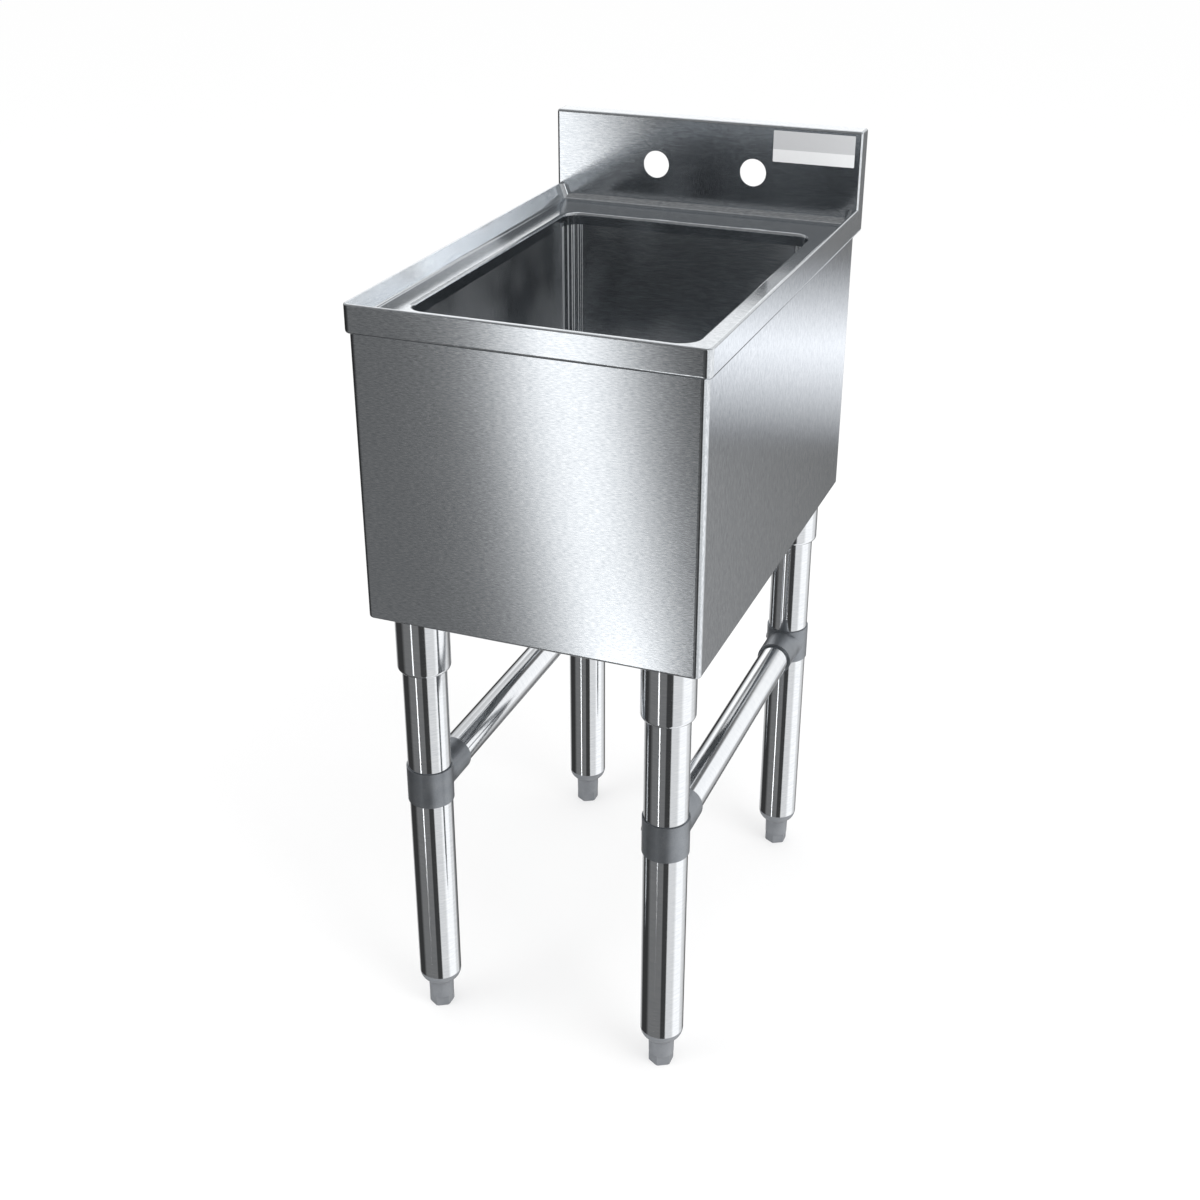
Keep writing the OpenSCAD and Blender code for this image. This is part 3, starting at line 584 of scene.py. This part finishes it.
@dataclass
class BlankPlate:
    """The plain two-tone film on the splash, with nothing printed on it."""

    left: float = 70.5 * MM
    right: float = 152.0 * MM
    low: float = 775.8 * MM
    high: float = 806.0 * MM
    split: float = 788.0 * MM
    splash_y: float = 218.125 * MM
    thickness: float = 0.12 * MM
    corner_r: float = 0.8 * MM
    corner_steps: int = 6
    upper_shade: str = "#C9CACC"
    lower_shade: str = "#EEEFF0"
    mottle_shade: str = "#B4B6B8"
    mottle_share: float = 0.12
    mottle_size: float = 3.0 * MM
    relief: float = 0.01 * MM
    sheen: tuple[float, float] = (0.3, 0.5)

    def outline(self) -> list[tuple[float, float]]:
        """Works out the film's rounded outline.

        Returns:
            Points across and up, anticlockwise as seen from the front.
        """
        points = []
        for across, up, start in (
            (self.right, self.low, -90), (self.right, self.high, 0), (self.left, self.high, 90),
            (self.left, self.low, 180),
        ):
            inward_x = across - math.copysign(self.corner_r, across - (self.left + self.right) / 2)
            inward_z = up - math.copysign(self.corner_r, up - (self.low + self.high) / 2)
            for step in range(self.corner_steps + 1):
                turn = math.radians(start + 90 * step / self.corner_steps)
                points.append((
                    inward_x + self.corner_r * math.cos(turn), inward_z + self.corner_r * math.sin(turn)
                ))
        return points

    def material(self) -> bpy.types.Material:
        """Builds the satin vinyl film: two pale tones, with a faint mottle and a soft sheen.

        Returns:
            The material.
        """
        material = empty_material("satin_vinyl_film")
        tree = material.node_tree
        place = add_node(tree, "ShaderNodeTexCoord").outputs["Object"]
        parts = add_node(tree, "ShaderNodeSeparateXYZ", {"Vector": place})
        above = add_node(
            tree, "ShaderNodeMath", {0: parts.outputs["Z"], 1: self.split}, operation="GREATER_THAN"
        )
        tones = add_node(
            tree, "ShaderNodeMix",
            {0: above.outputs[0], 6: linear(self.lower_shade), 7: linear(self.upper_shade)}, data_type="RGBA",
        )
        mottle = add_node(
            tree, "ShaderNodeTexNoise", {"Vector": place, "Scale": 1 / self.mottle_size, "Detail": 3.0}
        ).outputs["Fac"]
        share = add_node(
            tree, "ShaderNodeMapRange", {"Value": mottle, "To Min": 0.0, "To Max": self.mottle_share}
        )
        colour = add_node(
            tree, "ShaderNodeMix",
            {0: share.outputs[0], 6: tones.outputs[2], 7: linear(self.mottle_shade)}, data_type="RGBA",
        )
        rough = add_node(
            tree, "ShaderNodeMapRange", {"Value": mottle, "To Min": self.sheen[0], "To Max": self.sheen[1]}
        )
        bump = add_node(
            tree, "ShaderNodeBump", {"Height": mottle, "Strength": 1.0, "Distance": self.relief}
        )
        shader = add_node(tree, "ShaderNodeBsdfPrincipled", {
            "Base Color": colour.outputs[2], "Roughness": rough.outputs[0], "Normal": bump.outputs[0],
        })
        add_node(tree, "ShaderNodeOutputMaterial", {"Surface": shader.outputs[0]})
        return material

    def build(self) -> None:
        """Makes the film, puts it on the splash and dresses it."""
        mesh = bpy.data.meshes.new("splash_plate")
        shape = bmesh.new()
        face_y = self.splash_y - self.thickness
        front = shape.faces.new([shape.verts.new((x, face_y, z)) for x, z in self.outline()])
        made = bmesh.ops.extrude_face_region(shape, geom=[front], use_keep_orig=True)
        rear = [part for part in made["geom"] if isinstance(part, bmesh.types.BMVert)]
        bmesh.ops.translate(shape, vec=(0, self.thickness, 0), verts=rear)
        bmesh.ops.recalc_face_normals(shape, faces=shape.faces)
        shape.to_mesh(mesh)
        shape.free()
        mesh.materials.append(self.material())
        plate = bpy.data.objects.new("splash_plate", mesh)
        bpy.context.scene.collection.objects.link(plate)
        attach(plate, "sink")
        LOG.info("%s: %d faces", plate.name, len(mesh.polygons))


@dataclass(frozen=True)
class Panel:
    """A cloth or panel of the studio's surround, with one level from end to end.

    Directions are in degrees. Bearing 0 is straight in front of the sink and 90 is to its left.
    """

    name: str
    start: float
    end: float
    level: float


@dataclass(frozen=True)
class Belt:
    """The cloths and panels that hang side by side between two heights, seen only in reflections.

    From the end of one to the start of the next the level changes evenly.
    """

    low: float
    high: float
    panels: tuple[Panel, ...]

    def level(self, bearing: float) -> float:
        """Reads the belt's level in one direction.

        Args:
            bearing: The direction's bearing.

        Returns:
            The level there.
        """
        stops = [(side, panel.level) for panel in self.panels for side in (panel.start, panel.end)]
        for (start, first), (end, last) in zip(stops, stops[1:]):
            if start <= bearing <= end:
                return first + (last - first) * (bearing - start) / (end - start)
        return stops[-1][1]


@dataclass(frozen=True)
class Row:
    """One height of a strip light, with the bearings across it and their strengths."""

    height: float
    stops: tuple[tuple[float, float], ...]


@dataclass(frozen=True)
class Strip:
    """One strip light of the studio, seen only in reflections."""

    name: str
    rows: tuple[Row, ...]
    tint: str = "#FFFFFF"


@dataclass(frozen=True)
class Lamp:
    """One soft square lamp: its place and width in metres and its power in watts."""

    name: str
    place: tuple[float, float, float]
    width: float
    power: float


def soft_row(
    height: float, middle: float, half_width: float, strength: float, fade: float = 0.35, edge: float = 0.2
) -> Row:
    """Makes the row of a strip light that fades at both ends.

    Args:
        height: The row's height above the horizon in degrees.
        middle: The bearing of its middle.
        half_width: Half of its width in degrees.
        strength: Its strength between the fades.
        fade: Half of the width of each fade.
        edge: The strength outside the fades.

    Returns:
        The row.
    """
    return Row(height, (
        (middle - half_width - fade, edge), (middle - half_width + fade, strength),
        (middle + half_width - fade, strength), (middle + half_width + fade, edge),
    ))


def grid_faces(rows: int, columns: int, closed: bool) -> list[tuple[int, int, int, int]]:
    """Lists the faces of a grid of points.

    Args:
        rows: How many rows of points there are.
        columns: How many points each row has.
        closed: Whether the last column joins the first.

    Returns:
        The faces, each as four point numbers.
    """
    return [
        (row * columns + at, row * columns + (at + 1) % columns,
         (row + 1) * columns + (at + 1) % columns, (row + 1) * columns + at)
        for row in range(rows - 1) for at in range(columns if closed else columns - 1)
    ]


# Well below the horizon, where the legs and the tees look
LOW_PANELS = (
    Panel("dark_rear_right", -180, -170, 0.145), Panel("pale_rear_right", -140, -131, 0.91),
    Panel("white_right", -120, -84, 1.28), Panel("pale_right", -72, -39, 0.86),
    Panel("black_flag", -35, -13, 0.055), Panel("grey_front", -9, 56, 0.2),
    Panel("black_left", 72, 112, 0.045), Panel("pale_rear_left", 135, 143, 0.68),
    Panel("dark_rear_left", 166, 180, 0.125),
)
# Just below the horizon, where the upright sheets and their corners look
SHEET_PANELS = (
    Panel("dark_rear_right", -180, -172, 0.147), Panel("shaded_rear_right", -166, -162, 0.26),
    Panel("pale_rear_right", -157, -155, 0.56), Panel("white_rear_right", -148, -132, 1.25),
    Panel("white_right", -60, -34, 1.2), Panel("black_flag", -31, 18, 0.05),
    Panel("grey_front_left", 21, 33, 0.19), Panel("black_left", 54, 150, 0.031),
    Panel("dark_rear_left", 166, 180, 0.115),
)
# Above the horizon every belt has the same right and front
HIGH_FRONT = (Panel("pale_right", -120, -88, 0.655), Panel("grey_front", -20, 62, 0.27))
# Above the horizon, where the deck and the slopes look: white behind, and brighter to both sides
HIGH_PANELS = (
    Panel("white_rear_right", -180, -160, 1.0), Panel("bright_rear_right", -154, -136, 1.2), *HIGH_FRONT,
    Panel("pale_left", 126, 142, 0.73), Panel("bright_rear_left", 150, 170, 1.45),
    Panel("white_rear_left", 176, 180, 1.0),
)
# Higher, with the dark cloth that the splash shows by way of the front slope
SHOULDER_PANELS = (
    Panel("white_rear_right", -180, -160, 1.0), Panel("bright_rear_right", -154, -136, 1.2), *HIGH_FRONT,
    Panel("pale_left", 138, 154, 0.7), Panel("dark_cloth", 159, 168, 0.15),
    Panel("white_rear_left", 174, 180, 1.0),
)
# Higher still, with the dark cloth that the tops of the braces show
UPPER_PANELS = (
    Panel("white_rear_right", -180, -178, 0.95), Panel("dark_cloth", -171, -158, 0.135),
    Panel("bright_rear_right", -153, -138, 1.3), *HIGH_FRONT, Panel("pale_left", 138, 144, 0.7),
    Panel("white_rear_left", 176, 180, 0.98),
)


@dataclass
class Studio:
    """Floor, surround, lamps, world and camera."""

    surround_r: float = 60.0
    strip_r: float = 55.0
    floor_half: float = 15.0
    floor_shade: str = "#F7F7F7"
    # Share of plain white that the camera sees in the floor, which keeps its shadow soft
    floor_white: float = 0.5
    # Level of the world's plain light where the world itself isn't seen
    soft_level: float = 1.05
    eye: tuple[float, float, float] = (0.5228, -1.3889, 1.1377)
    aim: tuple[float, float, float] = (0.1061, -0.3338, 0.5602)
    lens_mm: float = 50.2
    sensor_mm: float = 36.0
    lamp_aim: tuple[float, float, float] = (0.0, 0.0, 0.4)
    lamps: tuple[Lamp, ...] = (
        Lamp("right_lamp", (1.8, -0.8, 2.6), 1.4, 28.0), Lamp("left_lamp", (-1.8, -1.6, 2.2), 1.6, 14.0),
    )
    # Pieces between two stops of a strip light, so that it follows the round of the studio
    pieces: int = 8
    belts: tuple[Belt, ...] = (
        Belt(-88, -25, LOW_PANELS), Belt(-15, -4, SHEET_PANELS), Belt(12, 21, HIGH_PANELS),
        Belt(24, 28.5, SHOULDER_PANELS), Belt(31.5, 37, UPPER_PANELS), Belt(42, 88, HIGH_PANELS),
    )
    # The strip lights: one down the front, one low behind, and a panel to the right of the front
    strips: tuple[Strip, ...] = (
        Strip("front_strip", (
            soft_row(-6.0, 24.1, 1.9, 2.2, fade=1.0), soft_row(-20.0, 22.4, 1.9, 2.2, fade=1.0),
            soft_row(-28.0, 20.9, 1.9, 2.1, fade=1.0), soft_row(-31.0, 20.6, 1.4, 4.0),
            soft_row(-34.0, 20.3, 1.4, 4.2), soft_row(-38.0, 15.0, 1.4, 3.6), soft_row(-43.0, 10.5, 1.3, 3.0),
        )),
        Strip("rear_strip", tuple(
            Row(height, ((-178.0, strength), (-150.0, strength)))
            for height, strength in ((-14.5, 0.25), (-17.5, 1.54), (-20.9, 0.25))
        ), "#F9FBFF"),
        Strip("right_panel", tuple(
            Row(height, ((-46, 0.4), (-36, 0.4), (-32.5, 1.5), (-30.8, 5.0), (-29.4, 5.4), (-29.1, 0.05)))
            for height in (-3.0, 13.0)
        )),
    )

    def direction(self, bearing: float, height: float) -> Vector:
        """Turns a bearing and a height above the horizon into a direction.

        Args:
            bearing: The bearing in degrees.
            height: The height above the horizon in degrees.

        Returns:
            The direction, one metre long.
        """
        turn, rise = math.radians(bearing), math.radians(height)
        return Vector((
            -math.sin(turn) * math.cos(rise), -math.cos(turn) * math.cos(rise), math.sin(rise)
        ))

    def glow(self, name: str, tint: str) -> bpy.types.Material:
        """Builds the glowing material of a studio surface, as strong as each of its points says.

        Args:
            name: The surface's name.
            tint: The colour of the glow.

        Returns:
            The material.
        """
        material = empty_material(name)
        tree = material.node_tree
        strength = add_node(tree, "ShaderNodeAttribute", attribute_name="strength").outputs["Fac"]
        light = add_node(tree, "ShaderNodeEmission", {"Color": linear(tint), "Strength": strength})
        add_node(tree, "ShaderNodeOutputMaterial", {"Surface": light.outputs[0]})
        return material

    def stand(
        self, name: str, points: list[Vector], strengths: list[float],
        faces: list[tuple[int, int, int, int]], tint: str = "#FFFFFF",
    ) -> None:
        """Stands a studio surface that only reflections show.

        Args:
            name: The surface's name.
            points: Its points.
            strengths: The strength of its glow at each point.
            faces: Its faces.
            tint: The colour of its glow.
        """
        mesh = bpy.data.meshes.new(name)
        mesh.from_pydata(points, [], faces)
        mesh.attributes.new("strength", "FLOAT", "POINT").data.foreach_set("value", strengths)
        mesh.materials.append(self.glow(name + "_cloth", tint))
        made = bpy.data.objects.new(name, mesh)
        bpy.context.scene.collection.objects.link(made)
        made.visible_camera = False
        made.visible_diffuse = False
        made.visible_transmission = False
        made.visible_volume_scatter = False
        made.visible_shadow = False

    def build_surround(self) -> None:
        """Stands the round surround, whose levels also change evenly from belt to belt."""
        bearings = range(-180, 180)
        points, strengths = [], []
        for belt in self.belts:
            levels = [belt.level(bearing) for bearing in bearings]
            for height in (belt.low, belt.high):
                points += [self.direction(bearing, height) * self.surround_r for bearing in bearings]
                strengths += levels
            LOG.info("belt at %g: %s", belt.low, ", ".join(panel.name for panel in belt.panels))
        faces = grid_faces(2 * len(self.belts), len(bearings), closed=True)
        self.stand("surround", points, strengths, faces)

    def build_strips(self) -> None:
        """Stands the strip lights in front of the surround."""
        for strip in self.strips:
            points, strengths = [], []
            for row in strip.rows:
                fine = [
                    tuple(first + (last - first) * part / self.pieces for first, last in zip(start, end))
                    for start, end in zip(row.stops, row.stops[1:]) for part in range(self.pieces)
                ] + [row.stops[-1]]
                points += [self.direction(bearing, row.height) * self.strip_r for bearing, _ in fine]
                strengths += [strength for _, strength in fine]
            rows = len(strip.rows)
            faces = grid_faces(rows, len(points) // rows, closed=False)
            self.stand(strip.name, points, strengths, faces, strip.tint)

    def build_floor(self) -> None:
        """Lays the pale floor, which keeps the sink's soft shadow."""
        half = self.floor_half
        mesh = bpy.data.meshes.new("floor")
        mesh.from_pydata(
            [(-half, -half, 0), (half, -half, 0), (half, half, 0), (-half, half, 0)], [], [(0, 1, 2, 3)]
        )
        material = empty_material("pale_floor")
        tree = material.node_tree
        matte = add_node(tree, "ShaderNodeBsdfDiffuse", {"Color": linear(self.floor_shade)})
        glow = add_node(tree, "ShaderNodeEmission", {"Color": linear("#FFFFFF"), "Strength": 1.0})
        path = add_node(tree, "ShaderNodeLightPath")
        share = add_node(tree, "ShaderNodeMath", {
            0: path.outputs["Is Camera Ray"], 1: self.floor_white,
        }, operation="MULTIPLY")
        mixed = add_node(
            tree, "ShaderNodeMixShader", {0: share.outputs[0], 1: matte.outputs[0], 2: glow.outputs[0]}
        )
        add_node(tree, "ShaderNodeOutputMaterial", {"Surface": mixed.outputs[0]})
        mesh.materials.append(material)
        floor = bpy.data.objects.new("floor", mesh)
        bpy.context.scene.collection.objects.link(floor)
        floor.visible_glossy = False

    def build_world(self) -> None:
        """Makes the world: white where it is seen, and a plain soft light elsewhere."""
        world = bpy.data.worlds.new("studio")
        bpy.context.scene.world = world
        world.use_nodes = True
        tree = world.node_tree
        tree.nodes.clear()
        path = add_node(tree, "ShaderNodeLightPath")
        shown = add_node(tree, "ShaderNodeMath", {
            0: path.outputs["Is Camera Ray"], 1: path.outputs["Is Glossy Ray"],
        }, operation="MAXIMUM")
        seen = add_node(tree, "ShaderNodeMath", {
            0: shown.outputs[0], 1: path.outputs["Is Transmission Ray"],
        }, operation="MAXIMUM")
        level = add_node(
            tree, "ShaderNodeMapRange", {"Value": seen.outputs[0], "To Min": self.soft_level, "To Max": 1.0}
        )
        sky = add_node(
            tree, "ShaderNodeBackground", {"Color": linear("#FFFFFF"), "Strength": level.outputs[0]}
        )
        add_node(tree, "ShaderNodeOutputWorld", {"Surface": sky.outputs[0]})

    def point(
        self, data: bpy.types.Light | bpy.types.Camera, place: tuple[float, float, float],
        aim: tuple[float, float, float],
    ) -> bpy.types.Object:
        """Stands a lamp or the camera in its place and turns it towards a point.

        Args:
            data: The lamp's or the camera's own data.
            place: Where it stands.
            aim: The point that it looks at.

        Returns:
            The object.
        """
        made = bpy.data.objects.new(data.name, data)
        bpy.context.scene.collection.objects.link(made)
        made.location = place
        made.rotation_euler = (Vector(aim) - Vector(place)).to_track_quat("-Z", "Y").to_euler()
        return made

    def build_lamps(self) -> None:
        """Hangs the soft lamps, which look at the sink and don't show in its metal."""
        for lamp in self.lamps:
            data = bpy.data.lights.new(lamp.name, "AREA")
            data.size = lamp.width
            data.energy = lamp.power
            self.point(data, lamp.place, self.lamp_aim).visible_glossy = False

    def build_camera(self) -> None:
        """Stands the camera where the photograph's was."""
        data = bpy.data.cameras.new("camera")
        data.lens = self.lens_mm
        data.sensor_width = self.sensor_mm
        bpy.context.scene.camera = self.point(data, self.eye, self.aim)

    def build(self) -> None:
        """Sets the whole studio up."""
        self.build_camera()
        self.build_world()
        self.build_surround()
        self.build_strips()
        self.build_floor()
        self.build_lamps()
        bpy.context.scene.view_settings.view_transform = "Standard"


def main() -> None:
    """Builds the studio and the sink's looks."""
    logging.basicConfig(level=logging.INFO, format="%(name)s: %(message)s")
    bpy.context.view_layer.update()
    Studio().build()
    DeckAndBowl().dress()
    SkirtAndChannels().dress()
    LegFrame().dress()
    feet = ScrewFeet()
    feet.build()
    feet.dress()
    DrainStack().dress()
    BlankPlate().build()


if __name__ == "__main__":
    main()
